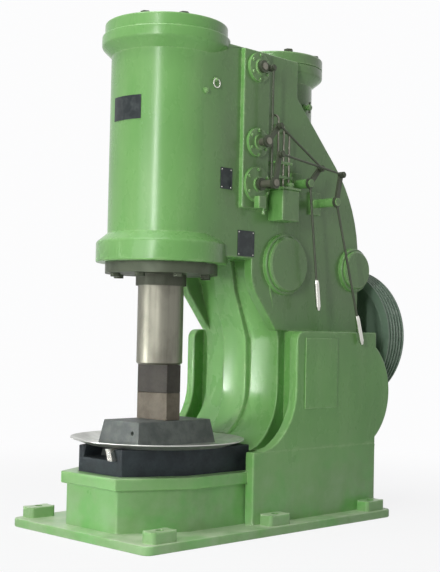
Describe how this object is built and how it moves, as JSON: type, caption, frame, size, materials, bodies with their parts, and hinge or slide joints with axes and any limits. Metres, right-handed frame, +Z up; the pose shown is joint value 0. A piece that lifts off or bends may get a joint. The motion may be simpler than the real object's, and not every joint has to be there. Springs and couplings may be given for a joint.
{
  "type": "air forging hammer",
  "caption": "Single-column air forging hammer: C-frame casting with ram, dies, anvil on an octagonal pedestal, crank-driven compressor, hand-lever valve gear and grooved flywheel.",
  "frame": {"origin": "on the floor at the centre of the base plate and of its foundation bolts", "axes": "+X to the operator's right, +Y to the rear, +Z up along the ram"},
  "size_m": [1.018, 2.07, 2.536],
  "materials": {
    "green_paint": "worn gloss enamel on cast iron",
    "anvil_iron": "dark cast skin",
    "sow_steel": "rough machined",
    "lower_die_steel": "ground die steel",
    "upper_die_steel": "dark die steel",
    "ram_steel": "turned and polished",
    "tray_steel": "sheet steel",
    "bright_steel": "polished",
    "dark_steel": "blackened",
    "wheel_iron": "dark enamel",
    "bearing_bronze": "turned bronze"
  },
  "bodies": {
    "frame": {"base_frame": "green_paint", "column_body": "green_paint", "anvil_block": "anvil_iron", "sow_block": "sow_steel", "sow_key": "bright_steel", "lower_die": "lower_die_steel", "lower_die_key": "ram_steel", "scale_tray": "tray_steel", "guide_bush": "bearing_bronze", "gland_ring": "dark_steel", "gland_bolts": "dark_steel", "work_cover": "green_paint", "work_cover_bolts": "dark_steel", "compressor_cover": "green_paint", "compressor_cover_bolts": "dark_steel", "front_cover_right": "green_paint", "front_cover_left": "green_paint", "rear_cover_right": "green_paint", "rear_cover_left": "green_paint", "inspection_door": "green_paint", "front_bearing": "bearing_bronze", "rear_bearing": "bearing_bronze", "bearing_cap": "green_paint", "upper_valve_flange": "green_paint", "middle_valve_flange": "green_paint", "lower_valve_flange": "green_paint", "lubricator_case": "green_paint", "lubricator_lid": "green_paint", "oil_pipes": "ram_steel", "lever_a_bracket": "green_paint", "lever_b_bracket": "green_paint"},
    "ram_unit": {"ram": "ram_steel", "piston_rings": "dark_steel", "upper_die": "upper_die_steel", "upper_die_key": "ram_steel"},
    "crank_unit": {"crankshaft": "ram_steel", "flywheel": "wheel_iron", "flywheel_key": "ram_steel", "flywheel_nut": "dark_steel"},
    "air_piston": {"compressor_piston": "ram_steel", "compressor_rings": "dark_steel", "wrist_pin": "ram_steel"},
    "conrod": {"connecting_rod": "ram_steel", "crank_pin": "ram_steel"},
    "upper_valve": {"upper_spindle": "ram_steel", "upper_tie_arm": "dark_steel"},
    "middle_valve": {"middle_spindle": "ram_steel", "middle_arm": "dark_steel"},
    "lower_valve": {"lower_spindle": "ram_steel", "lower_tie_arm": "dark_steel", "lower_push_arm": "dark_steel"},
    "tie_link": {"tie_rod": "dark_steel"},
    "push_link_a": {"push_rod_a": "dark_steel"},
    "push_link_b": {"push_rod_b": "dark_steel"},
    "hand_lever_a": {"lever_a": "dark_steel", "lever_a_grip": "bright_steel"},
    "hand_lever_b": {"lever_b": "dark_steel", "lever_b_grip": "bright_steel"}
  },
  "joints": [
    {"name": "ram_slide", "type": "slide", "parent": "frame", "child": "ram_unit", "axis": [0, 0, 1], "range_m": [0, 0.385]},
    {"name": "crank_spin", "type": "hinge", "parent": "frame", "child": "crank_unit", "pos_m": [0, 0.927, 0.98], "axis": [0, 1, 0], "continuous": true},
    {"name": "air_piston_slide", "type": "slide", "parent": "frame", "child": "air_piston", "axis": [0, 0, 1], "range_m": [0, 0.28]},
    {"name": "conrod_pivot", "type": "hinge", "parent": "air_piston", "child": "conrod", "pos_m": [0, 0.442, 1.72], "axis": [0, 1, 0], "range_deg": [-9.15, 9.15]},
    {"name": "lever_a_swing", "type": "hinge", "parent": "frame", "child": "hand_lever_a", "pos_m": [0.379, 0.306, 1.772], "axis": [1, 0, 0], "range_deg": [-14, 14]},
    {"name": "push_rod_a_pivot", "type": "hinge", "parent": "hand_lever_a", "child": "push_link_a", "pos_m": [0.379, 0.38295, 1.85746], "axis": [1, 0, 0], "range_deg": [-14, 14]},
    {"name": "middle_valve_turn", "type": "hinge", "parent": "frame", "child": "middle_valve", "pos_m": [0.379, -0.023, 1.95], "axis": [1, 0, 0], "range_deg": [-14, 14]},
    {"name": "lever_b_swing", "type": "hinge", "parent": "frame", "child": "hand_lever_b", "pos_m": [0.432, 0.462, 1.685], "axis": [1, 0, 0], "range_deg": [-14, 14]},
    {"name": "push_rod_b_pivot", "type": "hinge", "parent": "hand_lever_b", "child": "push_link_b", "pos_m": [0.432, 0.49319, 1.83172], "axis": [1, 0, 0], "range_deg": [-14, 14]},
    {"name": "lower_valve_turn", "type": "hinge", "parent": "frame", "child": "lower_valve", "pos_m": [0.432, -0.023, 1.735], "axis": [1, 0, 0], "range_deg": [-14, 14]},
    {"name": "upper_valve_turn", "type": "hinge", "parent": "frame", "child": "upper_valve", "pos_m": [0.341, -0.023, 2.335], "axis": [1, 0, 0], "range_deg": [-14, 14]},
    {"name": "tie_rod_pivot", "type": "hinge", "parent": "upper_valve", "child": "tie_link", "pos_m": [0.341, 0.031, 2.335], "axis": [1, 0, 0], "range_deg": [-14, 14]}
  ],
  "couplings": [
    {"joint": "push_rod_a_pivot", "follows": "lever_a_swing", "ratio": -1},
    {"joint": "middle_valve_turn", "follows": "lever_a_swing", "ratio": 1},
    {"joint": "push_rod_b_pivot", "follows": "lever_b_swing", "ratio": -1},
    {"joint": "lower_valve_turn", "follows": "lever_b_swing", "ratio": 1},
    {"joint": "upper_valve_turn", "follows": "lever_b_swing", "ratio": 1},
    {"joint": "tie_rod_pivot", "follows": "lever_b_swing", "ratio": -1}
  ]
}
